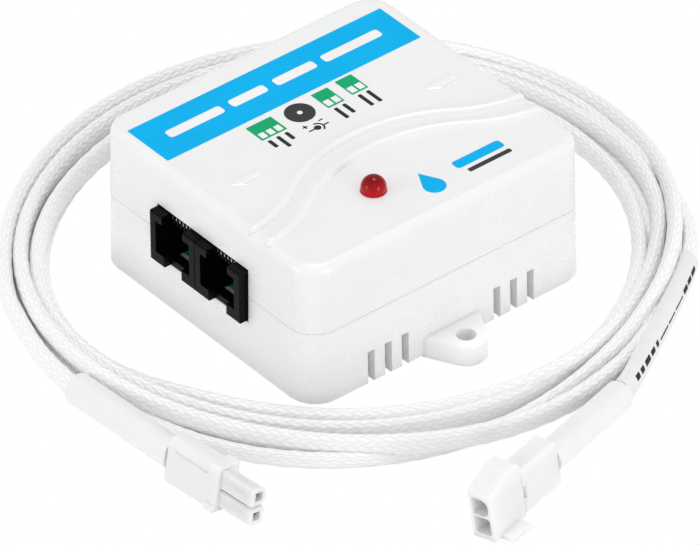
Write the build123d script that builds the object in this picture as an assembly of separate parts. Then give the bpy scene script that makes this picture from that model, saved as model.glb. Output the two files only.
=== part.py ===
from build123d import *
import os
from math import cos, radians, sin, sqrt, tan

# Case: two white mouldings that meet at the parting line
case_width = 69.0
case_depth = 65.0
case_height = 31.8
parting_height = 16.5
corner_radius = 6.4
draft_angle = 1.0
wall = 2.0
floor_thickness = 2.0
roof_thickness = 2.0
top_edge_radius = 2.0
foot_edge_chamfer = 0.4
parting_chamfer = 0.15
lip_height = 1.6
lip_thickness = 0.9
lip_clearance = 0.12
lip_bite = 0.4

# Vent slots, open at the bottom edge of both long walls
vent_count = 3
vent_pitch = 4.15
vent_first_x = 11.3
vent_width = 1.7
vent_height = 7.6
vent_reach = 3.4

# Screw lugs on both long walls
lug_hole_offset = 4.3
lug_hole_diameter = 3.9
lug_tip_radius = 4.1
lug_root_width = 14.0
lug_thickness = 4.5
lug_edge_radius = 0.6

# Wave ribs on the lid: a crest arc that turns into two foot arcs
rib_width = 2.4
rib_rise = 0.75
rib_root = 1.2
rib_crest_y = -2.5
rib_crest_radius = 35.0
rib_foot_radius = 28.0
rib_turn_x = 20.0
rib_spacing = 5.15
rib_end_inset = 0.45

# Sunk arrows on the lid
arrow_center_x = 24.0
arrow_y = -0.5
arrow_length = 7.2
arrow_head_length = 2.8
arrow_head_width = 3.7
arrow_shaft_width = 1.9
arrow_depth = 0.35

# Circuit board on four posts, clamped by bosses of the cover
post_height = 9.3
post_diameter = 8.4
post_inset = 6.2
boss_diameter = 7.0
board_thickness = 1.6
board_clearance = 0.5
board_corner_radius = 3.0

# Case screws, driven from below
screw_diameter = 2.9
screw_hole_clearance = 0.4
screw_thread_clearance = 0.1
screw_head_diameter = 5.6
screw_head_height = 2.2
screw_head_clearance = 0.4
screw_seat_height = 4.0
screw_length = 18.0
screw_tip_room = 1.5
screw_slot_width = 0.9
screw_slot_length = 3.4
screw_slot_depth = 1.2

# Modular jacks, side by side on the short wall
jack_width = 13.35
jack_gap = 0.2
jack_height = 11.7
jack_depth = 15.8
jack_proud = 2.0
jack_edge_radius = 0.4
jack_mouth_width = 10.2
jack_mouth_bottom = 2.6
jack_mouth_top = 9.9
jack_mouth_depth = 12.5
jack_roof_notch_width = 6.3
jack_roof_notch_depth = 2.2
jack_latch_width = 5.4
jack_latch_depth = 9.0
jack_window_width = 8.2
jack_catch_width = 6.4
jack_bar_start = 1.8
jack_bar_end = 3.9
jack_bar_height = 1.4
jack_slot_width = 0.62
jack_slot_length = 2.8
contact_count = 6
contact_pitch = 1.02
contact_width = 0.46
contact_thickness = 0.45
contact_roof_gap = 0.4
contact_end_gap = 0.2
contact_tip_depth = 9.8
contact_tip_height = 6.6
cutout_clearance = 0.3

# Lamp in the lid
led_x = -7.5
led_y = -18.6
led_diameter = 5.0
led_flange_diameter = 5.8
led_flange_height = 1.0
led_length = 8.6
led_proud = 3.25
led_hole_clearance = 0.2
led_lead_size = 0.5
led_lead_pitch = 2.54

# Green terminals and the round supply jack along the back wall
rear_gap = 1.0
pole_pitch = 3.5
relay_poles = 3
supply_poles = 2
sensor_poles = 2
terminal_depth = 8.0
terminal_height = 9.0
terminal_chamfer = 1.2
terminal_setback = 0.3
terminal_front_wall = 1.2
terminal_cell_width = 2.7
terminal_cell_depth = 4.6
terminal_cell_bottom = 1.0
terminal_cell_height = 6.8
wire_hole_diameter = 2.1
wire_hole_height = 2.7
clamp_clearance = 0.1
clamp_bore = 1.7
clamp_screw_diameter = 1.9
clamp_screw_height = 6.1
clamp_screw_length = 4.2
clamp_screw_clearance = 0.2
clamp_slot_width = 0.5
clamp_slot_depth = 0.6
power_jack_width = 9.0
power_jack_depth = 14.0
power_jack_height = 11.0
power_jack_bore = 6.3
power_jack_bore_depth = 9.5
power_jack_axis_height = 6.2
power_jack_pin_diameter = 2.0
power_jack_pin_setback = 0.8
power_jack_edge_radius = 0.6

# Board components
relay_width = 15.4
relay_depth = 19.2
relay_headroom = 3.7
relay_edge_radius = 0.8
relay_x = 13.0
relay_y = 4.0
chip_length = 8.7
chip_width = 3.9
chip_height = 1.5
chip_lead_count = 7
chip_lead_pitch = 1.27
chip_lead_width = 0.42
chip_lead_reach = 1.0
chip_lead_height = 0.7
chip_x = -4.0
chip_y = -6.0
regulator_length = 6.5
regulator_width = 3.5
regulator_height = 1.6
regulator_tab_length = 3.0
regulator_tab_reach = 1.7
regulator_tab_height = 0.5
regulator_x = 10.0
regulator_y = -11.5
capacitor_diameter = 8.0
capacitor_height = 11.5
capacitor_groove_height = 1.6
capacitor_groove_depth = 0.4
capacitor_edge_radius = 0.5
capacitor_x = 12.0
capacitor_y = -20.0
diode_length = 4.3
diode_width = 2.6
diode_height = 2.3
diode_x = 4.0
diode_y = -20.0

# Braided sensing cable: an oval cord laid on its edge round the case
cable_thickness = 3.1
cable_width = 5.0
coil_center_x = 2.2
coil_center_y = 0.8
coil_inner_radius = 52.8
coil_outer_radius = 66.5
coil_height = 7.6
coil_edge_radius = 2.4
arc_share = 0.45
plug_tail_height = 2.6
plug_tail_points = [(-61.2, 22.0), (-64.4, 12.2), (-65.7, 2.0), (-65.7, -8.3)]
socket_tail_height = 3.05
socket_tail_points = [
    (64.4, -14.0),
    (62.2, -27.0),
    (55.6, -38.8),
    (45.6, -47.6),
    (30.0, -57.6),
    (14.0, -67.4),
    (4.5, -70.5),
]
boot_seat_depth = 7.0
plug_boot_diameter = 6.3
socket_boot_diameter = 6.1
sleeve_gap = 0.1
sleeve_wall = 0.35
sleeve_start_share = 0.42
sleeve_end_share = 0.91

# Two-way cable connectors, with the ways one above the other
way_pitch = 4.2
plug_x = -65.7
plug_y = -30.8
plug_heading = -85.0
plug_roll = -10.5
plug_body_length = 13.9
plug_body_width = 5.4
plug_body_height = 9.6
plug_crown_radius = 1.9
plug_edge_radius = 0.6
plug_rear_radius = 0.9
plug_collar_length = 2.5
plug_collar_height = 3.4
plug_collar_rise = 0.15
plug_groove_start = 2.6
plug_groove_height = 2.65
plug_groove_width = 0.4
plug_groove_depth = 0.2
plug_hook_length = 2.3
plug_hook_height = 1.4
plug_hook_reach = 0.3
silo_length = 8.4
silo_size = 3.55
silo_round_radius = 1.6
silo_chamfer = 0.35
silo_bore = 2.6
silo_end_wall = 1.0
silo_mouth_size = 1.8
plug_contact_diameter = 2.4
plug_contact_bore = 1.6
plug_contact_setback = 1.2
plug_contact_length = 18.0
socket_x = -14.1
socket_y = -77.7
socket_heading = 192.5
socket_pitch = 3.0
socket_roll = 7.0
socket_body_length = 11.1
socket_body_width = 5.3
socket_body_height = 9.8
shroud_length = 9.4
shroud_width = 5.8
shroud_height = 10.2
shroud_ramp_length = 6.4
shroud_ramp_rise = 2.4
shroud_rear_bevel = 0.9
shroud_edge_radius = 0.6
way_clearance = 0.12
way_depth = 8.4
socket_pin_diameter = 1.5
socket_pin_length = 13.0
socket_pin_setback = 4.5
ear_length = 5.5
ear_reach = 2.8
ear_height = 1.0
ear_setback = 1.6
lock_window_length = 1.0
lock_window_height = 2.7
lock_window_depth = 0.8


def span(size, height):
    """Size of a drafted block at a height."""
    return size - 2 * height * tan(radians(draft_angle))


def block(x_range, y_range, z_range):
    """Box between two corners."""
    size = [high - low for low, high in (x_range, y_range, z_range)]
    middle = [(high + low) / 2 for low, high in (x_range, y_range, z_range)]
    return Pos(*middle) * Box(*size)


def drafted(width, depth, radius, top):
    """Rounded block with the case's draft, from the base plane up."""
    return extrude(RectangleRounded(width, depth, radius), top, taper=draft_angle)


def rod(start, direction, length, diameter):
    """Cylinder from a point along a direction."""
    plane = Plane(origin=start, z_dir=direction)
    return extrude(plane * Circle(diameter / 2), length)


def at_corners(shape, x, y):
    """Four copies of a shape, at plus and minus x and y."""
    return [Pos(sx * x, sy * y, 0) * shape for sx in (-1, 1) for sy in (-1, 1)]


def both_walls(shape):
    """A shape on the front wall and its mirror image on the back wall."""
    return [shape, mirror(shape, about=Plane.XZ)]


# Heights and faces that several pieces share
far = 2 * case_width
board_top = post_height + board_thickness
inner_width = case_width - 2 * wall
inner_depth = case_depth - 2 * wall
roof_underside = case_height - roof_thickness
post_x = case_width / 2 - post_inset
post_y = case_depth / 2 - post_inset
jack_front = -span(case_width, board_top + jack_height / 2) / 2 - jack_proud
rear_face = span(case_depth, parting_height) / 2 - terminal_setback
lug_y = -case_depth / 2 - lug_hole_offset

# Places of the rear connectors, in their order along X
rear_widths = [
    relay_poles * pole_pitch,
    power_jack_width,
    supply_poles * pole_pitch,
    sensor_poles * pole_pitch,
]
rear_heights = [terminal_height, power_jack_height, terminal_height, terminal_height]
rear_start = -(sum(rear_widths) + rear_gap * (len(rear_widths) - 1)) / 2
rear_centers = [
    rear_start + sum(rear_widths[:i]) + rear_gap * i + rear_widths[i] / 2 for i in range(len(rear_widths))
]


def wall_cutouts():
    """Openings in the walls for the jacks and the rear connectors."""
    gap = cutout_clearance
    jacks = block(
        (-far, -case_width / 2 + 2 * wall),
        (-jack_width - jack_gap / 2 - gap, jack_width + jack_gap / 2 + gap),
        (board_top - gap, board_top + jack_height + gap),
    )
    rear = [
        block(
            (x - width / 2 - gap, x + width / 2 + gap),
            (case_depth / 2 - 2 * wall, far),
            (board_top - gap, board_top + height + gap),
        )
        for x, width, height in zip(rear_centers, rear_widths, rear_heights)
    ]
    return [jacks] + rear


def case_body():
    """Outer form of the closed case."""
    body = drafted(case_width, case_depth, corner_radius, case_height)
    body = fillet(body.edges().group_by(Axis.Z)[-1], top_edge_radius)
    return chamfer(body.edges().group_by(Axis.Z)[0], foot_edge_chamfer)


def case_hollow():
    """Inner form of the closed case."""
    hollow = drafted(inner_width, inner_depth, corner_radius - wall, roof_underside)
    return hollow & block((-far, far), (-far, far), (floor_thickness, case_height))


def lug():
    """Screw lug on the front wall: a wedge that narrows to a round tip."""
    wall_y = -case_depth / 2
    root = Pos(0, wall_y + wall / 4) * Rectangle(lug_root_width, wall / 2)
    tip = Pos(0, lug_y) * Circle(lug_tip_radius)
    plate = extrude(make_hull(root.edges() + tip.edges()), lug_thickness)
    rim = [edge for edge in plate.edges().group_by(Axis.Z)[-1] if edge.center().Y < wall_y]
    plate = fillet(rim, lug_edge_radius)
    return plate - rod((0, lug_y, 0), (0, 0, 1), lug_thickness, lug_hole_diameter)


def vents():
    """Slots in the front wall, in two groups."""
    wall_y = -case_depth / 2
    half = vent_width / 2
    centers = [side * (vent_first_x + i * vent_pitch) for side in (-1, 1) for i in range(vent_count)]
    depth_range = (wall_y - wall, wall_y + vent_reach)
    return [block((x - half, x + half), depth_range, (-1, vent_height)) for x in centers]


def base_shell():
    """Lower half: tray, posts, lugs and vents."""
    tray = case_body() & block((-far, far), (-far, far), (0, parting_height))
    tray = tray - case_hollow()
    post = extrude(Circle(post_diameter / 2), post_height)
    tray = tray + at_corners(post, post_x, post_y) + both_walls(lug())
    shank = extrude(Circle((screw_diameter + screw_hole_clearance) / 2), post_height)
    head = extrude(Circle((screw_head_diameter + screw_head_clearance) / 2), screw_seat_height)
    tray = tray - at_corners(shank + head, post_x, post_y)
    for slot in vents():
        tray = tray - both_walls(slot)
    return tray - wall_cutouts()


def locating_lip():
    """Ring under the cover that drops inside the walls of the base."""
    width = span(inner_width, parting_height)
    depth = span(inner_depth, parting_height)
    radius = corner_radius - wall
    inside = 2 * (lip_clearance + lip_thickness)

    def ring(grow, low, high):
        outer = RectangleRounded(width + 2 * grow, depth + 2 * grow, radius + grow)
        inner = RectangleRounded(width - inside, depth - inside, radius - inside / 2)
        return extrude(Pos(0, 0, low) * (outer - inner), high - low)

    lower = ring(-lip_clearance, parting_height - lip_height, parting_height)
    return lower + ring(lip_bite, parting_height, parting_height + lip_height)


def rib_path(shift):
    """Plan line of one wave rib, from wall to wall."""
    end_x = span(case_width, case_height) / 2 - rib_end_inset - rib_width / 2
    crest_y = rib_crest_y - shift
    center_y = crest_y - rib_crest_radius
    slope = rib_turn_x / rib_crest_radius
    turn_y = center_y + rib_crest_radius * sqrt(1 - slope**2)
    foot_x = rib_turn_x + rib_foot_radius * slope
    foot_y = turn_y + rib_foot_radius * sqrt(1 - slope**2)

    def foot(side, x):
        return (side * x, foot_y - sqrt(rib_foot_radius**2 - (foot_x - x) ** 2))

    middle_x = (rib_turn_x + end_x) / 2
    left = ThreePointArc(foot(-1, end_x), foot(-1, middle_x), foot(-1, rib_turn_x))
    crest = ThreePointArc(foot(-1, rib_turn_x), (0, crest_y), foot(1, rib_turn_x))
    right = ThreePointArc(foot(1, rib_turn_x), foot(1, middle_x), foot(1, end_x))
    return Pos(0, 0, case_height) * Wire([*left.edges(), *crest.edges(), *right.edges()])


def wave_rib(shift):
    """One raised bead with rounded ends, rooted in the lid."""
    path = rib_path(shift)
    half = rib_width / 2
    crown = ThreePointArc((-half, 0), (0, rib_rise), (half, 0))
    foot = Polyline((half, 0), (half, -rib_root), (-half, -rib_root), (-half, 0))
    profile = make_face([*crown.edges(), *foot.edges()])
    half_profile = profile & Pos(half / 2, 0) * Rectangle(half, 2 * (rib_rise + rib_root))

    def across(end):
        along = path % end
        return Plane(path @ end, x_dir=(-along.Y, along.X, 0), z_dir=along)

    bead = sweep(across(0) * profile, path)
    for end in (0, 1):
        bead = bead + revolve(across(end) * half_profile, Axis(path @ end, (0, 0, 1)), 360)
    return bead


def arrow(x):
    """Sunk arrow that points along minus X."""
    tip = x - arrow_length / 2
    neck = tip + arrow_head_length
    tail = x + arrow_length / 2
    half_head = arrow_head_width / 2
    half_shaft = arrow_shaft_width / 2
    upper = [(tip, 0), (neck, half_head), (neck, half_shaft), (tail, half_shaft)]
    lower = [(px, -py) for px, py in reversed(upper[1:])]
    outline = make_face(Polyline(*upper, *lower, close=True))
    return Pos(0, arrow_y, case_height - arrow_depth) * extrude(outline, 2 * arrow_depth)


def top_cover():
    """Upper half: lid with ribs, arrows, lamp hole, bosses and locating lip."""
    lid = case_body() & block((-far, far), (-far, far), (parting_height, case_height))
    lid = chamfer(lid.edges().group_by(Axis.Z)[0], parting_chamfer)
    lid = lid - case_hollow() + locating_lip()
    for shift in (0, rib_spacing):
        lid = lid + wave_rib(shift)
    boss = extrude(Circle(boss_diameter / 2), roof_underside - board_top)
    lid = lid + at_corners(Pos(0, 0, board_top) * boss, post_x, post_y)
    hole_depth = screw_seat_height + screw_length + screw_tip_room - board_top
    pilot = extrude(Circle((screw_diameter + screw_thread_clearance) / 2), hole_depth)
    lid = lid - at_corners(Pos(0, 0, board_top) * pilot, post_x, post_y)
    lamp_hole = rod((led_x, led_y, 0), (0, 0, 1), far, led_diameter + led_hole_clearance)
    lid = lid - lamp_hole - [arrow(side * arrow_center_x) for side in (-1, 1)]
    return lid - wall_cutouts()


def case_screw():
    """Pan-head screw with a crossed drive, head down."""
    head = extrude(Circle(screw_head_diameter / 2), screw_head_height)
    cross = Box(screw_slot_length, screw_slot_width, 2 * screw_slot_depth)
    cross = cross + Box(screw_slot_width, screw_slot_length, 2 * screw_slot_depth)
    shank = Pos(0, 0, screw_head_height) * extrude(Circle(screw_diameter / 2), screw_length)
    return Pos(0, 0, screw_seat_height - screw_head_height) * (head - cross + shank)


def circuit_board():
    """Board with its four screw holes."""
    width = span(inner_width, board_top) - 2 * board_clearance
    depth = span(inner_depth, board_top) - 2 * board_clearance
    board = extrude(RectangleRounded(width, depth, board_corner_radius), board_thickness)
    hole = extrude(Circle((screw_diameter + screw_hole_clearance) / 2), board_thickness)
    return Pos(0, 0, post_height) * (board - at_corners(hole, post_x, post_y))


def jack_housing(y):
    """Modular jack that opens along minus X, latch channel down."""

    def cut(width, depth_range, z_range):
        near, deep = depth_range
        return block((near, deep), (-width / 2, width / 2), z_range)

    out = -1.0
    body = block((0, jack_depth), (-jack_width / 2, jack_width / 2), (0, jack_height))
    front_edges = body.edges().filter_by(Axis.Y).group_by(Axis.X)[0]
    body = fillet(front_edges, jack_edge_radius)
    body = body - cut(jack_mouth_width, (out, jack_mouth_depth), (jack_mouth_bottom, jack_mouth_top))
    roof = (jack_mouth_top, jack_height - out)
    body = body - cut(jack_roof_notch_width, (out, jack_roof_notch_depth), roof)
    over_bar = (jack_bar_height, jack_mouth_bottom)
    body = body - cut(jack_latch_width, (out, jack_latch_depth), over_bar)
    body = body - cut(jack_catch_width, (jack_bar_start, jack_latch_depth), over_bar)
    body = body - cut(jack_latch_width, (out, jack_bar_start), (out, jack_bar_height))
    body = body - cut(jack_window_width, (jack_bar_end, jack_latch_depth), (out, jack_mouth_bottom))
    slot_end = jack_roof_notch_depth + jack_slot_length
    slot = cut(jack_slot_width, (jack_roof_notch_depth, slot_end), roof)
    body = body - [Pos(0, offset, 0) * slot for offset in contact_offsets()]
    return Pos(jack_front, y, board_top) * body


def contact_offsets():
    """Places of the contacts across a jack."""
    return [(i - (contact_count - 1) / 2) * contact_pitch for i in range(contact_count)]


def jack_contacts(y):
    """Six bent spring wires: a leg in the roof slot and a leg that slopes into the mouth."""
    bend_x = jack_roof_notch_depth + contact_end_gap
    roof_end = jack_roof_notch_depth + jack_slot_length - contact_end_gap
    top = jack_height - contact_roof_gap
    low = top - contact_thickness
    tip = (contact_tip_depth, contact_tip_height)
    outline = [
        (bend_x, top),
        (roof_end, top),
        (roof_end, low),
        (bend_x + 2 * contact_thickness, low),
        (tip[0] + contact_thickness, tip[1]),
        tip,
        (bend_x, low - contact_thickness / 2),
    ]
    profile = make_face(Polyline(*outline, close=True))
    wire = extrude(Plane.XZ * profile, contact_width / 2, both=True)
    return [Pos(jack_front, y + offset, board_top) * wire for offset in contact_offsets()]


def led_lens():
    """Lamp body: flange, straight barrel and round dome."""
    radius = led_diameter / 2
    base = case_height + led_proud - led_length
    dome_start = led_length - radius
    flange = extrude(Circle(led_flange_diameter / 2), led_flange_height)
    barrel = extrude(Circle(radius), dome_start)
    dome = Pos(0, 0, dome_start) * Sphere(radius)
    return Pos(led_x, led_y, base) * (flange + barrel + dome)


def led_leads():
    """Two square wires from the board up to the lamp."""
    base = case_height + led_proud - led_length
    half = led_lead_size / 2
    wire = block((-half, half), (-half, half), (board_top, base))
    return [Pos(led_x + side * led_lead_pitch / 2, led_y, 0) * wire for side in (-1, 1)]


def pole_offsets(poles):
    """Places of the poles along one terminal."""
    return [(i - (poles - 1) / 2) * pole_pitch for i in range(poles)]


def terminal_housing(x, poles):
    """Green terminal block that faces the back wall."""
    half = poles * pole_pitch / 2
    body = block((-half, half), (-terminal_depth, 0), (0, terminal_height))
    front_top = body.edges().filter_by(Axis.X).sort_by(Axis.Y)[-2:].sort_by(Axis.Z)[-1]
    body = chamfer(front_top, terminal_chamfer)
    half_cell = terminal_cell_width / 2
    cell_back = -terminal_front_wall - terminal_cell_depth
    cell_top = terminal_cell_bottom + terminal_cell_height
    for offset in pole_offsets(poles):
        cell = block(
            (offset - half_cell, offset + half_cell),
            (cell_back, -terminal_front_wall),
            (terminal_cell_bottom, cell_top),
        )
        hole_depth = 2 * terminal_front_wall
        wire_hole = rod((offset, 0, wire_hole_height), (0, -1, 0), hole_depth, wire_hole_diameter)
        screw_hole = rod(
            (offset, 0, clamp_screw_height),
            (0, -1, 0),
            2 * terminal_front_wall,
            clamp_screw_diameter + clamp_screw_clearance,
        )
        body = body - cell - wire_hole - screw_hole
    return Pos(x, rear_face, board_top) * body


def terminal_clamp(x):
    """Square cage with a wire bore and a screw bore."""
    gap = clamp_clearance
    half = terminal_cell_width / 2 - gap
    back = -terminal_front_wall - terminal_cell_depth + gap
    low = terminal_cell_bottom + gap
    high = terminal_cell_bottom + terminal_cell_height - gap
    cage = block((-half, half), (back, -terminal_front_wall - gap), (low, high))
    bore_length = terminal_front_wall + terminal_cell_depth / 2 + wire_hole_diameter / 2
    cage = cage - rod((0, 0, wire_hole_height), (0, -1, 0), bore_length, clamp_bore)
    screw_room = clamp_screw_diameter + clamp_screw_clearance
    cage = cage - rod((0, 0, clamp_screw_height), (0, -1, 0), far, screw_room)
    return Pos(x, rear_face, board_top) * cage


def terminal_screw(x):
    """Slotted grub screw of one pole."""
    head = (0, -clamp_slot_depth, clamp_screw_height)
    screw = rod(head, (0, -1, 0), clamp_screw_length, clamp_screw_diameter)
    half = clamp_slot_width / 2
    slot = block(
        (-half, half),
        (-2 * clamp_slot_depth, 0),
        (clamp_screw_height - clamp_screw_diameter, clamp_screw_height + clamp_screw_diameter),
    )
    return Pos(x, rear_face, board_top) * (screw - slot)


def power_jack_housing(x):
    """Round-mouthed supply jack that faces the back wall."""
    half = power_jack_width / 2
    body = block((-half, half), (-power_jack_depth, 0), (0, power_jack_height))
    top_edges = body.edges().filter_by(Axis.Y).group_by(Axis.Z)[-1]
    body = fillet(top_edges, power_jack_edge_radius)
    mouth = rod((0, 0, power_jack_axis_height), (0, -1, 0), power_jack_bore_depth, power_jack_bore)
    seat = rod((0, 0, power_jack_axis_height), (0, -1, 0), power_jack_depth, power_jack_pin_diameter)
    return Pos(x, rear_face, board_top) * (body - mouth - seat)


def power_jack_pin(x):
    """Centre pin of the supply jack, with a round tip."""
    length = power_jack_depth - power_jack_pin_setback
    tip = (0, -power_jack_pin_setback, power_jack_axis_height)
    pin = rod(tip, (0, -1, 0), length, power_jack_pin_diameter)
    tip_edge = pin.edges().filter_by(GeomType.CIRCLE).sort_by(Axis.Y)[-1]
    return Pos(x, rear_face, board_top) * fillet(tip_edge, power_jack_pin_diameter / 4)


def relay_block():
    """Sealed relay."""
    half_x, half_y = relay_width / 2, relay_depth / 2
    height = roof_underside - board_top - relay_headroom
    body = block((-half_x, half_x), (-half_y, half_y), (0, height))
    body = fillet(body.edges().filter_by(Axis.Z) + body.edges().group_by(Axis.Z)[-1], relay_edge_radius)
    return Pos(relay_x, relay_y, board_top) * body


def microcontroller():
    """Surface-mount chip with bent leads on two sides."""
    stand_off = chip_lead_height / 4
    half_x, half_y = chip_length / 2, chip_width / 2
    body = block((-half_x, half_x), (-half_y, half_y), (stand_off, chip_height))
    half_lead = chip_lead_width / 2
    for i in range(chip_lead_count):
        x = (i - (chip_lead_count - 1) / 2) * chip_lead_pitch
        lead_y = (half_y, half_y + chip_lead_reach)
        lead = block((x - half_lead, x + half_lead), lead_y, (0, chip_lead_height))
        lead = lead - block(
            (x - half_lead, x + half_lead),
            (half_y + chip_lead_reach / 2, half_y + chip_lead_reach),
            (stand_off, chip_lead_height),
        )
        body = body + both_walls(lead)
    return Pos(chip_x, chip_y, board_top) * body


def voltage_regulator():
    """Surface-mount regulator: body, cooling tab and three leads."""
    half_x, half_y = regulator_length / 2, regulator_width / 2
    body = block((-half_x, half_x), (-half_y, half_y), (0, regulator_height))
    half_tab = regulator_tab_length / 2
    tab = block((-half_tab, half_tab), (half_y, half_y + regulator_tab_reach), (0, regulator_tab_height))
    lead_width = regulator_tab_length / 4
    leads = [
        block(
            (x - lead_width / 2, x + lead_width / 2),
            (-half_y - regulator_tab_reach, -half_y),
            (0, regulator_tab_height),
        )
        for x in (-regulator_length / 3, 0, regulator_length / 3)
    ]
    return Pos(regulator_x, regulator_y, board_top) * (body + tab + leads)


def filter_capacitor():
    """Round can with the crimped groove near its foot."""
    radius = capacitor_diameter / 2
    can = extrude(Circle(radius), capacitor_height)
    can = fillet(can.edges().group_by(Axis.Z)[-1], capacitor_edge_radius)
    groove = Torus(radius + capacitor_groove_depth, 2 * capacitor_groove_depth)
    return Pos(capacitor_x, capacitor_y, board_top) * (can - Pos(0, 0, capacitor_groove_height) * groove)


def flyback_diode():
    """Small moulded diode across the relay coil."""
    half_x, half_y = diode_length / 2, diode_width / 2
    body = block((-half_x, half_x), (-half_y, half_y), (0, diode_height))
    body = chamfer(body.edges().group_by(Axis.Z)[-1], diode_height / 6)
    return Pos(diode_x, diode_y, board_top) * body


def cord_path(name, points, height):
    """Route of a free end: straight runs joined by arcs as large as the runs allow."""
    corners = [Vector(x, y, height) for x, y in points]
    runs = [b - a for a, b in zip(corners, corners[1:])]
    radii = []
    for before, after in zip(runs, runs[1:]):
        half_turn = radians(before.get_angle(after)) / 2
        radii.append(arc_share * min(before.length, after.length) / tan(half_turn))
    print(name, "arc radii:", " ".join(f"{radius:.1f}" for radius in radii))
    return FilletPolyline(*corners, radius=radii).wire()


def cord_tube(path, grow=0.0):
    """Oval cord on edge along a level route."""
    section = Plane(path @ 0, z_dir=path % 0, x_dir=(0, 0, 1))
    return sweep(section * Ellipse(cable_width / 2 + grow, cable_thickness / 2 + grow), path)


def report_tube(name, tube, path):
    """Print how a tube's volume compares with its section times its length."""
    area = Ellipse(cable_width / 2, cable_thickness / 2).area
    print(f"{name} length {path.length:.1f}, volume ratio {tube.volume / (area * path.length):.4f}")


def coil_ring():
    """Outer shape of the coiled turns: a flat ring round the case."""
    width = coil_outer_radius - coil_inner_radius
    middle = (coil_outer_radius + coil_inner_radius) / 2
    section = RectangleRounded(width, coil_height, coil_edge_radius)
    section = Plane.XZ * Pos(middle, coil_height / 2) * section
    return Pos(coil_center_x, coil_center_y, 0) * revolve(section, Axis.Z)


def plug_axis_height():
    """Height of the plug's axis when its lower edge lies on the surface."""
    tilt = abs(radians(plug_roll))
    return plug_body_height / 2 * cos(tilt) + plug_body_width / 2 * sin(tilt)


def socket_axis_height():
    """Height of the socket's back when its lowest front corner lies on the surface."""
    drop = (socket_body_length + shroud_length) * sin(radians(socket_pitch))
    side = shroud_width / 2 * sin(radians(socket_roll))
    half = shroud_height / 2 * cos(radians(socket_roll))
    return drop + (side + half) * cos(radians(socket_pitch))


def boot(path, target, heading, pitch, diameter):
    """Heat-shrink sleeve from the cord's end to the back of a connector."""
    end = path @ 1 - (path % 1) * boot_seat_depth
    start = Vector(end.X, end.Y, diameter / 2)
    reach = Vector(*target) - start
    sleeve = rod(start, reach, reach.length + diameter, diameter)
    level = cos(radians(pitch))
    ahead = (cos(radians(heading)) * level, sin(radians(heading)) * level, -sin(radians(pitch)))
    back = Plane(origin=target, z_dir=ahead)
    return split(sleeve, bisect_by=back, keep=Keep.BOTTOM)


def way_offsets():
    """Heights of the two ways of a connector from its axis."""
    return (-way_pitch / 2, way_pitch / 2)


def way_section(height, grow):
    """Section of one way: the lower is square with cut corners, the upper round on one side."""
    size = silo_size + 2 * grow
    section = Rectangle(size, size)
    if height < 0:
        return Pos(0, height) * chamfer(section.vertices(), silo_chamfer)
    round_corners = section.vertices().group_by(Axis.X)[-1]
    return Pos(0, height) * fillet(round_corners, silo_round_radius)


def facing_x(x):
    """Plane across the connector's axis, with its own X along Y and its own Y up."""
    return Plane(origin=(x, 0, 0), x_dir=(0, 1, 0), z_dir=(1, 0, 0))


def rounded_bar(length, width, height, radius):
    """Connector body along X from its back face."""
    return extrude(facing_x(0) * RectangleRounded(width, height, radius), length)


def plug_place():
    """Place of the plug on the surface, front end first."""
    return Pos(plug_x, plug_y, plug_axis_height()) * Rot(0, 0, plug_heading) * Rot(plug_roll, 0, 0)


def plug_body():
    """Back of the plug: crowned on top, with a collar, a side groove and a hook at the front."""
    half = plug_body_width / 2
    top = plug_body_height / 2
    section = Rectangle(plug_body_width, plug_body_height)
    section = fillet(section.vertices().group_by(Axis.Y)[-1], plug_crown_radius)
    section = fillet(section.vertices().group_by(Axis.Y)[0], plug_edge_radius)
    body = extrude(facing_x(0) * section, plug_body_length)
    body = fillet(body.faces().sort_by(Axis.X)[0].edges(), plug_rear_radius)
    collar_start = plug_body_length - plug_collar_length
    outer = half + plug_collar_rise
    collar_top = top + plug_collar_rise
    collar_z = (collar_top - plug_collar_height, collar_top)
    collar = block((collar_start, plug_body_length), (-outer, outer), collar_z)
    collar = fillet(collar.edges().filter_by(Axis.X).group_by(Axis.Z)[-1], plug_edge_radius)
    groove_low = plug_groove_height - plug_groove_width / 2
    groove = block(
        (plug_groove_start, collar_start),
        (-plug_body_width, -half + plug_groove_depth),
        (groove_low, groove_low + plug_groove_width),
    )
    hook = block(
        (plug_body_length - plug_hook_length, plug_body_length),
        (-half - plug_hook_reach, 0),
        (-top, plug_hook_height - top),
    )
    return body - groove + collar + hook


def plug_housing():
    """Two-way connector with one silo for each way."""
    body = plug_body()
    for height in way_offsets():
        body = body + extrude(facing_x(plug_body_length) * way_section(height, 0), silo_length)
    total = plug_body_length + silo_length
    bore_length = total - silo_end_wall
    half_mouth = silo_mouth_size / 2
    for height in way_offsets():
        mouth = (height - half_mouth, height + half_mouth)
        body = body - rod((0, 0, height), (1, 0, 0), bore_length, silo_bore)
        body = body - block((bore_length - silo_end_wall, total + 1), (-half_mouth, half_mouth), mouth)
    return plug_place() * body


def plug_contacts():
    """Two crimped sleeves in the plug."""
    start = plug_body_length + silo_length - plug_contact_setback - plug_contact_length
    contacts = []
    for height in way_offsets():
        sleeve = rod((start, 0, height), (1, 0, 0), plug_contact_length, plug_contact_diameter)
        middle = (start + plug_contact_length / 2, 0, height)
        bore = rod(middle, (1, 0, 0), plug_contact_length, plug_contact_bore)
        contacts.append(plug_place() * (sleeve - bore))
    return contacts


def socket_place():
    """Place of the socket on the surface, front end first."""
    turn = Rot(0, 0, socket_heading) * Rot(0, socket_pitch, 0) * Rot(socket_roll, 0, 0)
    return Pos(socket_x, socket_y, socket_axis_height()) * turn


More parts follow.
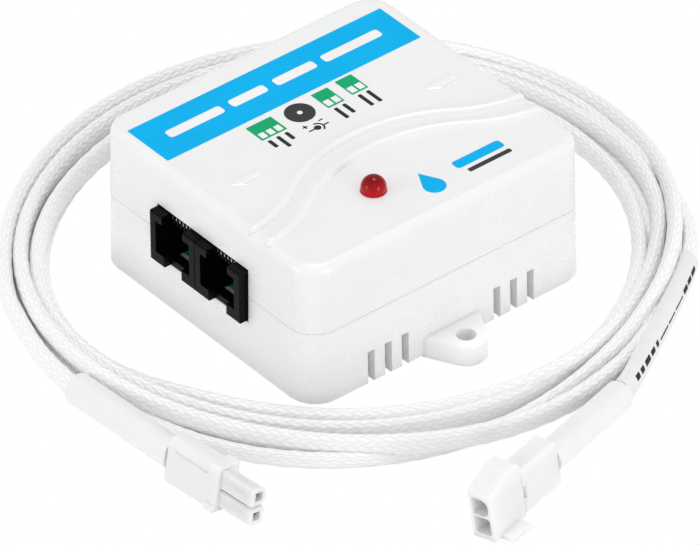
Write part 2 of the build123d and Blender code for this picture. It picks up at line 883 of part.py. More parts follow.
def shroud():
    """Front of the socket: a box whose top rises in a ramp to the back."""
    half = shroud_height / 2
    crest = half + shroud_ramp_rise
    outline = Polyline(
        (0, -half),
        (shroud_length, -half),
        (shroud_length, half),
        (shroud_length - shroud_ramp_length, crest),
        (shroud_rear_bevel, crest),
        (0, crest - shroud_rear_bevel),
        close=True,
    )
    box = extrude(Plane.XZ * make_face(outline), shroud_width / 2, both=True)
    sides = box.edges().filter_by(Axis.Y, reverse=True)
    return Pos(socket_body_length, 0, 0) * fillet(sides, shroud_edge_radius)


def socket_housing():
    """Two-way connector with a shroud that takes the silos."""
    total = socket_body_length + shroud_length
    body = rounded_bar(socket_body_length, socket_body_width, socket_body_height, plug_rear_radius)
    body = fillet(body.faces().sort_by(Axis.X)[0].edges(), plug_edge_radius) + shroud()
    side = shroud_width / 2
    low = -shroud_height / 2
    ear_front = total - ear_setback
    body = body + block((ear_front - ear_length, ear_front), (0, side + ear_reach), (low, low + ear_height))
    for height in way_offsets():
        way = extrude(facing_x(total - way_depth) * way_section(height, way_clearance), way_depth)
        body = body - way - rod((0, 0, height), (1, 0, 0), total, silo_bore)
    window_x = socket_body_length - lock_window_length
    window = block(
        (window_x, window_x + lock_window_length),
        (socket_body_width / 2 - lock_window_depth, far),
        (-lock_window_height / 2, lock_window_height / 2),
    )
    return socket_place() * (body - window)


def socket_contacts():
    """Two pins in the socket, each on a crimp barrel that sits in its bore."""
    front = socket_body_length + shroud_length - socket_pin_setback
    barrel_end = socket_body_length + shroud_length - way_depth
    contacts = []
    for height in way_offsets():
        pin = rod((front - socket_pin_length, 0, height), (1, 0, 0), socket_pin_length, socket_pin_diameter)
        barrel_start = front - socket_pin_length
        barrel = rod((barrel_start, 0, height), (1, 0, 0), barrel_end - barrel_start, plug_contact_diameter)
        contacts.append(socket_place() * (pin + barrel))
    return contacts


def cable_nodes():
    """The sensing cable: coil, free ends, boots and marker sleeve."""
    plug_path = cord_path("plug tail", plug_tail_points, plug_tail_height)
    socket_path = cord_path("socket tail", socket_tail_points, socket_tail_height)
    plug_tail = cord_tube(plug_path)
    socket_tail = cord_tube(socket_path)
    report_tube("plug tail", plug_tail, plug_path)
    report_tube("socket tail", socket_tail, socket_path)
    sleeve_path = socket_path.trim(sleeve_start_share, sleeve_end_share)
    sleeve = cord_tube(sleeve_path, sleeve_gap + sleeve_wall) - cord_tube(socket_path, sleeve_gap)
    plug_back = (plug_x, plug_y, plug_axis_height())
    socket_back = (socket_x, socket_y, socket_axis_height())
    plug_boot = boot(plug_path, plug_back, plug_heading, 0, plug_boot_diameter)
    socket_boot = boot(socket_path, socket_back, socket_heading, socket_pitch, socket_boot_diameter)
    sleeve_room = cord_tube(sleeve_path, sleeve_gap + sleeve_wall)
    return {
        "cable_coil": coil_ring() - plug_tail - socket_tail - sleeve_room - plug_boot - socket_boot,
        "plug_tail": plug_tail,
        "socket_tail": socket_tail,
        "marker_sleeve": sleeve,
        "plug_boot": plug_boot - plug_tail,
        "socket_boot": socket_boot - socket_tail,
    }


def rear_nodes():
    """Terminals and supply jack along the back wall."""
    relay_x0, power_x, supply_x, sensor_x = rear_centers
    poles = [relay_x0 + offset for offset in pole_offsets(relay_poles)]
    poles += [supply_x + offset for offset in pole_offsets(supply_poles)]
    poles += [sensor_x + offset for offset in pole_offsets(sensor_poles)]
    return {
        "terminal_relay_housing": terminal_housing(relay_x0, relay_poles),
        "terminal_supply_housing": terminal_housing(supply_x, supply_poles),
        "terminal_sensor_housing": terminal_housing(sensor_x, sensor_poles),
        "terminal_clamps": [terminal_clamp(x) for x in poles],
        "terminal_screws": [terminal_screw(x) for x in poles],
        "power_jack_housing": power_jack_housing(power_x),
        "power_jack_pin": power_jack_pin(power_x),
    }


def all_nodes():
    """Every sub-part by its node name."""
    nodes = {
        "base_shell": base_shell(),
        "top_cover": top_cover(),
        "case_screws": at_corners(case_screw(), post_x, post_y),
        "circuit_board": circuit_board(),
        "led_lens": led_lens(),
        "led_leads": led_leads(),
        "relay_block": relay_block(),
        "microcontroller": microcontroller(),
        "voltage_regulator": voltage_regulator(),
        "filter_capacitor": filter_capacitor(),
        "flyback_diode": flyback_diode(),
        "plug_housing": plug_housing(),
        "plug_contacts": plug_contacts(),
        "socket_housing": socket_housing(),
        "socket_contacts": socket_contacts(),
    }
    for number, side in ((1, 1), (2, -1)):
        y = side * (jack_width + jack_gap) / 2
        nodes[f"jack_{number}_housing"] = jack_housing(y)
        nodes[f"jack_{number}_contacts"] = jack_contacts(y)
    nodes.update(rear_nodes())
    nodes.update(cable_nodes())
    return nodes


os.makedirs("parts", exist_ok=True)
for name, shape in all_nodes().items():
    solids = shape if isinstance(shape, list) else shape.solids()
    solids = [solid for item in solids for solid in item.solids()]
    export_step(solids[0] if len(solids) == 1 else Compound(children=solids), f"parts/{name}.step")
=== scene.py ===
import logging
from dataclasses import dataclass, field
from enum import Enum
from math import asin, cos, hypot, pi, radians, sin
from typing import Sequence, Union

import bpy
import numpy as np
from mathutils import Matrix, Vector


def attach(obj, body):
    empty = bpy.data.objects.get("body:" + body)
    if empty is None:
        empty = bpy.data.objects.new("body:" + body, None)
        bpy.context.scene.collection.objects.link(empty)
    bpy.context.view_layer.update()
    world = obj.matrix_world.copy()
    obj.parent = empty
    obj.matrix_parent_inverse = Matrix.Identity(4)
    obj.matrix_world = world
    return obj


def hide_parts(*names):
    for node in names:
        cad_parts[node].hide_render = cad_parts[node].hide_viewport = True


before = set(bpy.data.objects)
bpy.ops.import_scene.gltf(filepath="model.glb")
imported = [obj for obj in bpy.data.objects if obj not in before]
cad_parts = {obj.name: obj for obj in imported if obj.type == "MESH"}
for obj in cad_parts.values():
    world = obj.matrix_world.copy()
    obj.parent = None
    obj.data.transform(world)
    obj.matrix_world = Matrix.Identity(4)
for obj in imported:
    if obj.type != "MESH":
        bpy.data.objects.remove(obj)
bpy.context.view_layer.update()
LOG = logging.getLogger("relay")
MM = 0.001
BODY = "root"

Colour = tuple[float, float, float]
Point2 = tuple[float, float]
Point3 = tuple[float, float, float]
Outline = Sequence[Point2]
Number = Union["Signal", float]
Socket = bpy.types.NodeSocket
Piece = bpy.types.Object


class Signal:
    """A number that flows through a material's nodes and takes Python arithmetic."""

    def __init__(self, graph: "Graph", socket: Socket) -> None:
        """Wrap an output socket of a material's nodes."""
        self.graph = graph
        self.socket = socket

    def __add__(self, other: Number) -> "Signal":
        """This number plus another."""
        return self.graph.math("ADD", self, other)

    def __radd__(self, other: Number) -> "Signal":
        """Another number plus this one."""
        return self.graph.math("ADD", other, self)

    def __sub__(self, other: Number) -> "Signal":
        """This number less another."""
        return self.graph.math("SUBTRACT", self, other)

    def __rsub__(self, other: Number) -> "Signal":
        """Another number less this one."""
        return self.graph.math("SUBTRACT", other, self)

    def __mul__(self, other: Number) -> "Signal":
        """This number times another."""
        return self.graph.math("MULTIPLY", self, other)

    def __rmul__(self, other: Number) -> "Signal":
        """Another number times this one."""
        return self.graph.math("MULTIPLY", other, self)

    def __mod__(self, other: Number) -> "Signal":
        """What is left of this number after division by another, never below 0."""
        return self.graph.math("FLOORED_MODULO", self, other)

    def __rmod__(self, other: Number) -> "Signal":
        """What is left of another number after division by this one, never below 0."""
        return self.graph.math("FLOORED_MODULO", other, self)

    def __abs__(self) -> "Signal":
        """The number without its sign."""
        return self.graph.math("ABSOLUTE", self)

    def floor(self) -> "Signal":
        """The whole part."""
        return self.graph.math("FLOOR", self)

    def fraction(self) -> "Signal":
        """The part after the point."""
        return self.graph.math("FRACT", self)

    def below(self, limit: Number) -> "Signal":
        """1 where the number is under the limit, else 0."""
        return self.graph.math("LESS_THAN", self, limit)

    def step(self, low: float, high: float) -> "Signal":
        """Smooth step from 0 to 1.

        Args:
            low: where the step starts.
            high: where it ends.

        Returns:
            The stepped number.
        """
        node = self.graph.node(
            "ShaderNodeMapRange",
            {"interpolation_type": "SMOOTHSTEP"},
            {"Value": self, "From Min": low, "From Max": high},
        )
        return Signal(self.graph, node.outputs["Result"])


class Graph:
    """The nodes of one material round a Principled shader."""

    def __init__(self, name: str) -> None:
        """Start a material.

        Args:
            name: the material's name.
        """
        self.material = bpy.data.materials.new(name)
        self.material.use_nodes = True
        self.tree = self.material.node_tree
        self.tree.nodes.clear()
        self.output = self.node("ShaderNodeOutputMaterial", {}, {})
        self.shader = self.node("ShaderNodeBsdfPrincipled", {}, {})
        self.link(self.shader.outputs["BSDF"], self.output.inputs["Surface"])

    def link(self, source: Socket, target: Socket) -> None:
        """Join an output to an input."""
        self.tree.links.new(source, target)

    def feed(self, socket: Socket, value: object) -> None:
        """Give an input a constant, or join a signal or a socket to it.

        Args:
            socket: the input.
            value: a number, colour, signal or output socket.
        """
        if isinstance(value, Signal):
            self.link(value.socket, socket)
        elif isinstance(value, Socket):
            self.link(value, socket)
        elif isinstance(value, tuple) and len(value) == 3 and socket.type == "RGBA":
            socket.default_value = (*value, 1.0)
        else:
            socket.default_value = value

    def node(
        self, kind: str, settings: dict[str, object], sockets: dict[object, object]
    ) -> bpy.types.Node:
        """Add a node.

        Args:
            kind: the node's type.
            settings: its properties.
            sockets: its inputs by name or place, and what goes into them.

        Returns:
            The node.
        """
        node = self.tree.nodes.new(kind)
        for key, value in settings.items():
            setattr(node, key, value)
        for key, value in sockets.items():
            self.feed(node.inputs[key], value)
        return node

    def math(self, operation: str, first: Number, second: Number = 0.0) -> Signal:
        """One step of arithmetic, by the Math node's name for it."""
        node = self.node("ShaderNodeMath", {"operation": operation}, {0: first, 1: second})
        return Signal(self, node.outputs[0])

    def place(self) -> Socket:
        """The point in the object's own frame, in metres."""
        return self.node("ShaderNodeTexCoord", {}, {}).outputs["Object"]

    def split(self, vector: Socket) -> tuple[Signal, Signal, Signal]:
        """The three numbers of a vector."""
        node = self.node("ShaderNodeSeparateXYZ", {}, {"Vector": vector})
        return tuple(Signal(self, node.outputs[axis]) for axis in "XYZ")

    def stretched(self, factors: Point3) -> Socket:
        """The point in the object's own frame with its axes scaled."""
        sockets = {0: self.place(), 1: factors}
        return self.node("ShaderNodeVectorMath", {"operation": "MULTIPLY"}, sockets).outputs[0]

    def noise(self, size: float, detail: float = 2.0, vector: Socket | None = None) -> Signal:
        """Cloudy noise from 0 to 1, with clouds of a size in metres and so many finer layers."""
        sockets = {"Vector": vector or self.place(), "Scale": 1.0 / size, "Detail": detail}
        return Signal(self, self.node("ShaderNodeTexNoise", {}, sockets).outputs["Fac"])

    def blend(self, factor: Number, first: object, second: object) -> Socket:
        """Mix of two colours or their sockets: 0 gives the first, 1 the second."""
        sockets = {0: factor, 6: first, 7: second}
        return self.node("ShaderNodeMix", {"data_type": "RGBA"}, sockets).outputs[2]

    def relief(self, height: Signal, depth: float) -> None:
        """Bump the surface by a height from 0 to 1, where 1 is so many metres."""
        node = self.node("ShaderNodeBump", {}, {"Height": height, "Distance": depth})
        self.link(node.outputs["Normal"], self.shader.inputs["Normal"])

    def surface(self, **values: object) -> bpy.types.Material:
        """Set the shader's inputs.

        Args:
            values: the inputs, with underscores for spaces and lower case.

        Returns:
            The finished material.
        """
        for key, value in values.items():
            socket = key.replace("_", " ").title().replace("Ior", "IOR")
            self.feed(self.shader.inputs[socket], value)
        return self.material


def darker(colour: Colour, share: float) -> Colour:
    """The colour with a share of it taken away."""
    return tuple(part * (1.0 - share) for part in colour)


@dataclass(frozen=True)
class Plastic:
    """Moulded plastic with a fine spark-eroded grain and slight mottling.

    Farther out along Y than a given line, on the lugs, the plastic is painted paler: painted light
    against the shade that the case throws on them.
    """

    name: str
    colour: Colour
    roughness: float = 0.42
    grain: float = 0.35 * MM
    grain_gloss: float = 0.10
    depth: float = 0.012 * MM
    cloud: float = 12 * MM
    cloud_gloss: float = 0.08
    mottle: float = 0.03
    gloss: float = 0.5
    softness: float = 0.0
    spread: float = 1.2 * MM
    painted_light_line: float = 0.0
    painted_light_fade: float = 0.6 * MM
    painted_light_colour: Colour = (0.985, 0.985, 0.985)

    def make(self) -> bpy.types.Material:
        """Build the material.

        Returns:
            The material.
        """
        graph = Graph(self.name)
        fine = graph.noise(self.grain, 3.0)
        broad = graph.noise(self.cloud)
        tint = graph.blend(broad.step(0.3, 0.7), darker(self.colour, self.mottle), self.colour)
        # painted light: past the line along Y, on the lugs, the plastic is painted paler than the
        # rest
        if self.painted_light_line:
            _, y, _ = graph.split(graph.place())
            painted_light_mask = abs(y).step(self.painted_light_line, self.painted_light_line + self.painted_light_fade)
            tint = graph.blend(painted_light_mask, tint, self.painted_light_colour)
        graph.relief(fine, self.depth)
        uneven = self.grain_gloss * (fine - 0.5) + self.cloud_gloss * (broad - 0.5)
        return graph.surface(
            base_color=tint,
            roughness=self.roughness + uneven,
            specular_ior_level=self.gloss,
            subsurface_weight=self.softness,
            subsurface_radius=(1.0, 1.0, 1.0),
            subsurface_scale=self.spread,
        )


@dataclass(frozen=True)
class Shrink:
    """Heat-shrink tube: smooth, with faint creases whose hollows are painted slightly darker as
    shade.
    """

    name: str
    colour: Colour
    roughness: float = 0.36
    crease: float = 3 * MM
    grain: float = 0.3 * MM
    depth: float = 0.03 * MM

    def make(self) -> bpy.types.Material:
        """Build the material.

        Returns:
            The material.
        """
        graph = Graph(self.name)
        crease = graph.noise(self.crease, 1.0)
        fine = graph.noise(self.grain)
        graph.relief(0.8 * crease + 0.2 * fine, self.depth)
        return graph.surface(
            # painted shade: the hollows of the creases are painted slightly darker
            base_color=graph.blend(crease.step(0.3, 0.7), darker(self.colour, 0.015), self.colour),
            roughness=self.roughness + 0.12 * (crease - 0.5),
            coat_weight=0.15,
            coat_roughness=0.2,
        )


@dataclass(frozen=True)
class Metal:
    """Plated or brushed metal with fine scratches."""

    name: str
    colour: Colour
    roughness: float = 0.28
    tarnish: float = 0.12
    scratch: float = 0.6 * MM
    squeeze: Point3 = (1.0, 1.0, 9.0)
    depth: float = 0.008 * MM
    stain: float = 3 * MM

    def make(self) -> bpy.types.Material:
        """Build the material.

        Returns:
            The material.
        """
        graph = Graph(self.name)
        scratch = graph.noise(self.scratch, 3.0, graph.stretched(self.squeeze))
        stain = graph.noise(self.stain, 3.0).step(0.35, 0.7)
        graph.relief(scratch, self.depth)
        return graph.surface(
            base_color=graph.blend(stain, self.colour, darker(self.colour, self.tarnish)),
            metallic=1.0,
            roughness=self.roughness + 0.2 * (scratch - 0.5),
        )


@dataclass(frozen=True)
class SolderMask:
    """Green board: glossy mask over raised tracks, with a white band along its left edge."""

    name: str
    colour: Colour = (0.012, 0.36, 0.17)
    track: Colour = (0.02, 0.48, 0.24)
    silk: Colour = (0.96, 0.96, 0.95)
    silk_edge: float = -30.3 * MM
    tracks_per_metre: float = 420.0
    track_edge: Point2 = (0.14, 0.20)
    region: float = 6 * MM
    depth: float = 0.04 * MM

    def make(self) -> bpy.types.Material:
        """Build the material.

        Returns:
            The material.
        """
        graph = Graph(self.name)
        x, y, _ = graph.split(graph.place())
        across = abs((x * self.tracks_per_metre).fraction() - 0.5).step(*self.track_edge)
        along = abs((y * self.tracks_per_metre).fraction() - 0.5).step(*self.track_edge)
        choice = graph.noise(self.region, 0.0).step(0.49, 0.51)
        tracks = 1.0 - (choice * across + (1.0 - choice) * along)
        green = graph.blend(tracks, self.colour, self.track)
        graph.relief(tracks, self.depth)
        return graph.surface(
            base_color=graph.blend(x.below(self.silk_edge), green, self.silk),
            roughness=0.22 + 0.1 * graph.noise(2 * MM),
            coat_weight=0.4,
            coat_roughness=0.1,
        )


@dataclass(frozen=True)
class Lens:
    """Tinted epoxy of the lamp: deep red at the crown, painted brighter towards the foot as painted
    light, where light pools.
    """

    name: str
    crown: Colour = (0.20, 0.003, 0.006)
    foot: Colour = (0.50, 0.006, 0.014)
    low: float = 32.2 * MM
    high: float = 35.2 * MM
    cloud: float = 2.5 * MM
    sway: float = 0.6 * MM
    ripple: float = 1.2 * MM
    depth: float = 0.004 * MM

    def make(self) -> bpy.types.Material:
        """Build the material.

        Returns:
            The material.
        """
        graph = Graph(self.name)
        _, _, z = graph.split(graph.place())
        cloud = graph.noise(self.cloud, 1.0)
        # painted light: the lens is painted brighter red towards its foot, where light pools, and
        # deep red at its crown
        rise = (z + self.sway * (cloud - 0.5)).step(self.low, self.high)
        graph.relief(graph.noise(self.ripple, 1.0), self.depth)
        return graph.surface(
            base_color=graph.blend(rise, self.foot, self.crown),
            roughness=0.06 + 0.03 * cloud,
            specular_ior_level=0.12,
            coat_weight=0.10,
            coat_roughness=0.03,
        )


@dataclass(frozen=True)
class Ink:
    """Printed film: flat colour with a faint pile of ink and pinholes."""

    name: str
    colour: Colour
    roughness: float = 0.45
    gloss: float = 0.06
    speck: float = 0.25 * MM
    depth: float = 0.006 * MM
    cloud: float = 9 * MM

    def make(self) -> bpy.types.Material:
        """Build the material.

        Returns:
            The material.
        """
        graph = Graph(self.name)
        speck = graph.noise(self.speck)
        worn = graph.noise(self.cloud).step(0.3, 0.75)
        graph.relief(speck, self.depth)
        return graph.surface(
            base_color=graph.blend(worn, self.colour, darker(self.colour, 0.05)),
            roughness=self.roughness + 0.12 * (speck - 0.5),
            specular_ior_level=self.gloss,
        )


@dataclass(frozen=True)
class BraidFinish:
    """White braided sleeve: two families of yarns, each over two and under two, as soft grains,
    with painted shade in the grooves between them.
    """

    name: str
    colour: Colour = (0.965, 0.965, 0.965)
    painted_groove_shade: Colour = (0.89, 0.89, 0.895)
    fuzz: float = 0.5 * MM
    depth: float = 0.13 * MM
    cycle: float = 4.0

    def grain(self, own: Signal, other: Signal, start: float) -> Signal:
        """Height of one family's yarns where they lie on top.

        Args:
            own: the number that counts the family's yarns.
            other: the number that counts the yarns they cross.
            start: where in the cycle of four the yarn comes up.

        Returns:
            The height, from 0 at a grain's rim to 1 on its crown.
        """
        across = (own.fraction() - 0.5) * 2.0
        reach = ((own.floor() + other) % self.cycle) - (start + 1.0)
        return (1.0 - across * across) * (1.0 - reach * reach)

    def make(self) -> bpy.types.Material:
        """Build the material.

        Returns:
            The material.
        """
        graph = Graph(self.name)
        uv = graph.node("ShaderNodeUVMap", {"uv_map": "Braid"}, {}).outputs["UV"]
        along, around, _ = graph.split(uv)
        right = around + along
        left = around - along
        right_over = ((right.floor() + left.floor()) % self.cycle).below(1.5)
        left_over = 1.0 - right_over
        crown = right_over * self.grain(right, left, 0.0) + left_over * self.grain(left, right, 2.0)
        fuzz = graph.noise(self.fuzz, 3.0)
        graph.relief(crown * 0.9 + fuzz * 0.1, self.depth)
        return graph.surface(
            # painted shade: the grooves between the grains are painted grey, the crowns keep the
            # yarn's white
            base_color=graph.blend(crown.step(0.0, 0.9), self.painted_groove_shade, self.colour),
            roughness=0.44 + 0.15 * fuzz - 0.10 * crown,
            sheen_weight=0.1,
            sheen_roughness=0.4,
        )


class Finish(Enum):
    """Every finish on the object."""

    CASE = Plastic(
        "case_white", (0.86, 0.862, 0.865), roughness=0.27, mottle=0.012, depth=0.003 * MM
    )
    # painted light: out past 32.8 mm along Y, on the lugs, the base is painted paler
    BASE = Plastic(
        "base_white", (0.885, 0.887, 0.89), roughness=0.27, mottle=0.012, depth=0.003 * MM,
        softness=0.4, painted_light_line=32.8 * MM,
    )
    JACK = Plastic(
        "jack_black", (0.0016, 0.0016, 0.0017), mottle=0.2, depth=0.006 * MM, gloss=0.08
    )
    NYLON = Plastic(
        "nylon_natural", (0.86, 0.86, 0.855), depth=0.010 * MM, gloss=0.35,
        softness=0.5, spread=3 * MM,
    )
    RELAY = Plastic("relay_black", (0.02, 0.02, 0.024), roughness=0.5, mottle=0.25)
    CHIP = Plastic("chip_black", (0.018, 0.018, 0.018), roughness=0.6, mottle=0.25)
    TERMINAL = Plastic("terminal_green", (0.02, 0.26, 0.07), roughness=0.38, mottle=0.12)
    GOLD = Metal("contact_gold", (0.95, 0.92, 0.84), roughness=0.34, tarnish=0.05)
    TIN = Metal("lead_tin", (0.74, 0.74, 0.73), roughness=0.32)
    STEEL = Metal("screw_steel", (0.60, 0.60, 0.61), roughness=0.30)
    CAN = Metal("capacitor_can", (0.80, 0.80, 0.81), roughness=0.26, tarnish=0.06)
    BOARD = SolderMask("board_green")
    LAMP = Lens("lamp_red")
    SHRINK = Shrink("shrink_white", (0.85, 0.85, 0.85))
    SLEEVE = Shrink("sleeve_white", (0.80, 0.80, 0.80), roughness=0.42)
    BRAID = BraidFinish("braid_white")
    BLUE = Ink("print_blue", (0.0012, 0.44, 0.85))
    GREEN = Ink("print_green", (0.0103, 0.385, 0.16))
    BLACK = Ink("print_black", (0.03, 0.03, 0.032))
    GREY = Ink("print_grey", (0.05, 0.05, 0.052))
    WHITE = Ink("print_white", (0.88, 0.88, 0.88))

    def material(self) -> bpy.types.Material:
        """Find the finish's material, or make it on first use.

        Returns:
            The material.
        """
        name = f"{self.value.name}_look"
        found = bpy.data.materials.get(name)
        if found is None:
            found = self.value.make()
            found.name = name
        return found


Coats = tuple[tuple[str, Finish], ...]


@dataclass
class SubAssembly:
    """Solids that belong together, each with the finish that it wears."""

    coats: Coats = ()

    def dress(self) -> int:
        """Give the solids their finishes.

        Returns:
            How many solids were dressed.
        """
        for solid, finish in self.coats:
            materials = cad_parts[solid].data.materials
            materials.clear()
            materials.append(finish.material())
        return len(self.coats)


def add_mesh(
    name: str, points: Sequence, faces: Sequence, finish: Finish, smooth: bool = True
) -> Piece:
    """Add a piece that rides on the object.

    Args:
        name: the piece's name.
        points: its points, in metres.
        faces: its faces, as lists of point numbers.
        finish: its finish.
        smooth: whether its faces are shaded smooth.

    Returns:
        The new piece.
    """
    mesh = bpy.data.meshes.new(name)
    corners = [tuple(map(float, point)) for point in points]
    mesh.from_pydata(corners, [], [tuple(face) for face in faces])
    mesh.validate()
    mesh.materials.append(finish.material())
    mesh.polygons.foreach_set("use_smooth", [smooth] * len(mesh.polygons))
    obj = bpy.data.objects.new(name, mesh)
    bpy.context.scene.collection.objects.link(obj)
    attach(obj, BODY)
    return obj


def add_stack(name: str, rings: Sequence[tuple[Outline, float]], finish: Finish) -> Piece:
    """Add a flat-shaded solid with walls from outline to outline and a lid on each end.

    Args:
        name: the piece's name.
        rings: its outlines, counter-clockwise, each with its height, in millimetres.
        finish: its finish.

    Returns:
        The new piece.
    """
    points = [(x * MM, y * MM, z * MM) for outline, z in rings for x, y in outline]
    count = len(rings[0][0])
    last = len(points) - count
    walls = [
        (low + i, low + (i + 1) % count, low + count + (i + 1) % count, low + count + i)
        for low in range(0, last, count)
        for i in range(count)
    ]
    lids = [tuple(range(last, last + count)), tuple(reversed(range(count)))]
    return add_mesh(name, points, [*lids, *walls], finish, smooth=False)


def disc(x: float, y: float, radius: float, sides: int = 48) -> list[Point2]:
    """Outline of a disc round a middle."""
    turns = [2 * pi * i / sides for i in range(sides)]
    return [(x + radius * cos(turn), y + radius * sin(turn)) for turn in turns]


def droplet(x: float, y: float, radius: float, height: float, sides: int = 40) -> list[Point2]:
    """Outline of a water drop with its tip along Y.

    Args:
        x: the middle of its round end.
        y: the middle of its round end.
        radius: the radius of its round end.
        height: from that middle to its tip.
        sides: how many sides its round end is drawn with.

    Returns:
        The outline.
    """
    lean = asin(radius / height)
    first, last = pi - lean, 2 * pi + lean
    turns = [first + (last - first) * i / sides for i in range(sides + 1)]
    return [(x, y + height), *((x + radius * cos(turn), y + radius * sin(turn)) for turn in turns)]


@dataclass(frozen=True)
class Patch:
    """A rectangle in plan: its middle and its sizes, in millimetres."""

    x: float
    y: float
    width: float
    height: float

    def corners(self) -> list[Point2]:
        """The four corners, counter-clockwise."""
        signs = ((-0.5, -0.5), (0.5, -0.5), (0.5, 0.5), (-0.5, 0.5))
        return [(self.x + i * self.width, self.y + j * self.height) for i, j in signs]

    def rounded(self, radius: float, steps: int = 6) -> list[Point2]:
        """Outline with round corners.

        Args:
            radius: the corners' radius.
            steps: how many sides each corner is drawn with.

        Returns:
            The outline, counter-clockwise.
        """
        outline = []
        for side_x, side_y, start in ((1, 1, 0), (-1, 1, 90), (-1, -1, 180), (1, -1, 270)):
            x = self.x + side_x * (self.width / 2 - radius)
            y = self.y + side_y * (self.height / 2 - radius)
            turns = [radians(start + 90 / steps * step) for step in range(steps + 1)]
            outline += [(x + radius * cos(turn), y + radius * sin(turn)) for turn in turns]
        return outline


@dataclass(frozen=True)
class TerminalIcon:
    """Sizes of one terminal pictogram, in millimetres."""

    name: str
    block: Patch
    window: Point2
    words: tuple[float, ...]
    pitch: float = 1.88
    border: float = 0.42
    word_pitch: float = 2.05
    word_gap: float = 0.75
    word_width: float = 0.85


@dataclass
class LidPrint:
    """Fields of colour, plain pictograms and raised arrows on the lid, in millimetres."""

    top: float = 31.8
    film: float = 0.03
    strip: Patch = Patch(-0.5, 19.7, 62.2, 12.4)
    strip_corner: float = 0.2
    label_words: tuple[Point2, ...] = ((-26.5, -13.2), (-11.2, -2.6), (-0.4, 9.5), (11.5, 25.6))
    label_line: float = 19.9
    label_height: float = 2.4
    icons: tuple[TerminalIcon, ...] = (
        TerminalIcon("relay_icon", Patch(-10.8, 9.5, 6.1, 5.1), (1.3, 1.7), (2.6, 4.0, 2.6)),
        TerminalIcon("supply_icon", Patch(4.4, 9.7, 4.0, 5.4), (1.4, 1.9), (4.0, 3.4)),
        TerminalIcon("sensor_icon", Patch(10.6, 10.1, 4.0, 5.4), (1.4, 1.9), (4.3, 4.3)),
    )
    icon_corner: float = 0.1
    window_corner: float = 0.08
    bar_corner: float = 0.3
    inlet: Point2 = (-2.7, 9.4)
    inlet_radius: float = 3.05
    inlet_pin_radius: float = 0.55
    polarity: Point2 = (-3.1, 3.5)
    polarity_dot: float = 0.72
    polarity_ring: Point2 = (1.5, 1.15)
    polarity_arc: tuple[int, int, int] = (-60, 91, 10)
    polarity_bars: tuple[tuple[str, Patch], ...] = (
        ("lead_in", Patch(-1.3, 0.0, 1.6, 0.34)),
        ("lead_out", Patch(2.1, 0.0, 1.2, 0.34)),
        ("plus_long", Patch(-1.8, 1.6, 1.1, 0.3)),
        ("plus_cross", Patch(-1.8, 1.6, 0.3, 1.1)),
        ("minus", Patch(2.0, 1.6, 1.0, 0.3)),
    )
    arrow_places: tuple[tuple[str, float, float], ...] = (
        ("arrow_left", -24.0, -0.5), ("arrow_right", 24.0, -0.5),
    )
    arrow_rim: tuple[Point2, ...] = ((-3.7, 0.0), (-0.75, 1.9), (-0.75, 0.98), (3.64, 0.98))
    arrow_crest: tuple[Point2, ...] = ((-2.75, 0.0), (-1.2, 1.0), (-1.2, 0.5), (3.2, 0.5))
    arrow_heights: Point3 = (-0.3, 0.14, 0.27)
    drop: tuple[float, float, float, float] = (2.2, -24.9, 2.3, 4.9)
    maker_bar: Patch = Patch(14.8, -22.6, 11.6, 2.4)
    maker_line: Patch = Patch(15.4, -25.4, 10.4, 1.1)
    made: list[Piece] = field(default_factory=list)

    def plate(self, name: str, outline: Outline, finish: Finish, layer: int = 1) -> None:
        """Print one field, with its top so many films up."""
        rings = [(outline, self.top - self.film), (outline, self.top + self.film * layer)]
        self.made.append(add_stack(name, rings, finish))

    def bar(self, name: str, patch: Patch, finish: Finish, layer: int = 1) -> None:
        """Print a plain bar that stands for a word or a stroke."""
        radius = self.bar_corner * min(patch.width, patch.height)
        self.plate(name, patch.rounded(radius), finish, layer)

    def terminal_icon(self, icon: TerminalIcon) -> None:
        """Green block with a white window for each pole and a dark bar under each window.

        Args:
            icon: the pictogram.
        """
        block = icon.block
        self.plate(icon.name, block.rounded(self.icon_corner), Finish.GREEN)
        foot = block.y - block.height / 2
        for i, word in enumerate(icon.words):
            step = i - (len(icon.words) - 1) / 2
            sill = foot + icon.border + icon.window[1] / 2
            window = Patch(block.x + step * icon.pitch, sill, *icon.window)
            pane = window.rounded(self.window_corner)
            self.plate(f"{icon.name}_window_{i}", pane, Finish.WHITE, 2)
            line = foot - icon.word_gap - word / 2
            bar = Patch(block.x + step * icon.word_pitch, line, icon.word_width, word)
            self.bar(f"{icon.name}_word_{i}", bar, Finish.BLACK)

    def polarity_sign(self) -> None:
        """Sign of a centre-positive inlet: a dot, part of a ring and two leads with their signs."""
        x, y = self.polarity
        outer, inner = self.polarity_ring
        turns = [radians(turn) for turn in range(*self.polarity_arc)]
        ring = [(x + outer * cos(turn), y + outer * sin(turn)) for turn in turns]
        ring += [(x + inner * cos(turn), y + inner * sin(turn)) for turn in reversed(turns)]
        self.plate("polarity_ring", ring, Finish.BLACK)
        self.plate("polarity_dot", disc(x, y, self.polarity_dot), Finish.BLACK)
        for name, bar in self.polarity_bars:
            moved = Patch(x + bar.x, y + bar.y, bar.width, bar.height)
            self.bar(f"polarity_{name}", moved, Finish.BLACK)

    def arrow(self, name: str, x: float, y: float) -> None:
        """Raised arrow that points along minus X, with a broad bevel round its crest.

        Args:
            name: the piece's name.
            x: its middle.
            y: its middle.
        """
        rings = []
        for half, z in zip((self.arrow_rim, self.arrow_rim, self.arrow_crest), self.arrow_heights):
            mirrored = [(px, -py) for px, py in half[1:]][::-1]
            outline = [*half, *mirrored][::-1]
            rings.append(([(x + px, y + py) for px, py in outline], self.top + z))
        self.made.append(add_stack(name, rings, Finish.CASE))

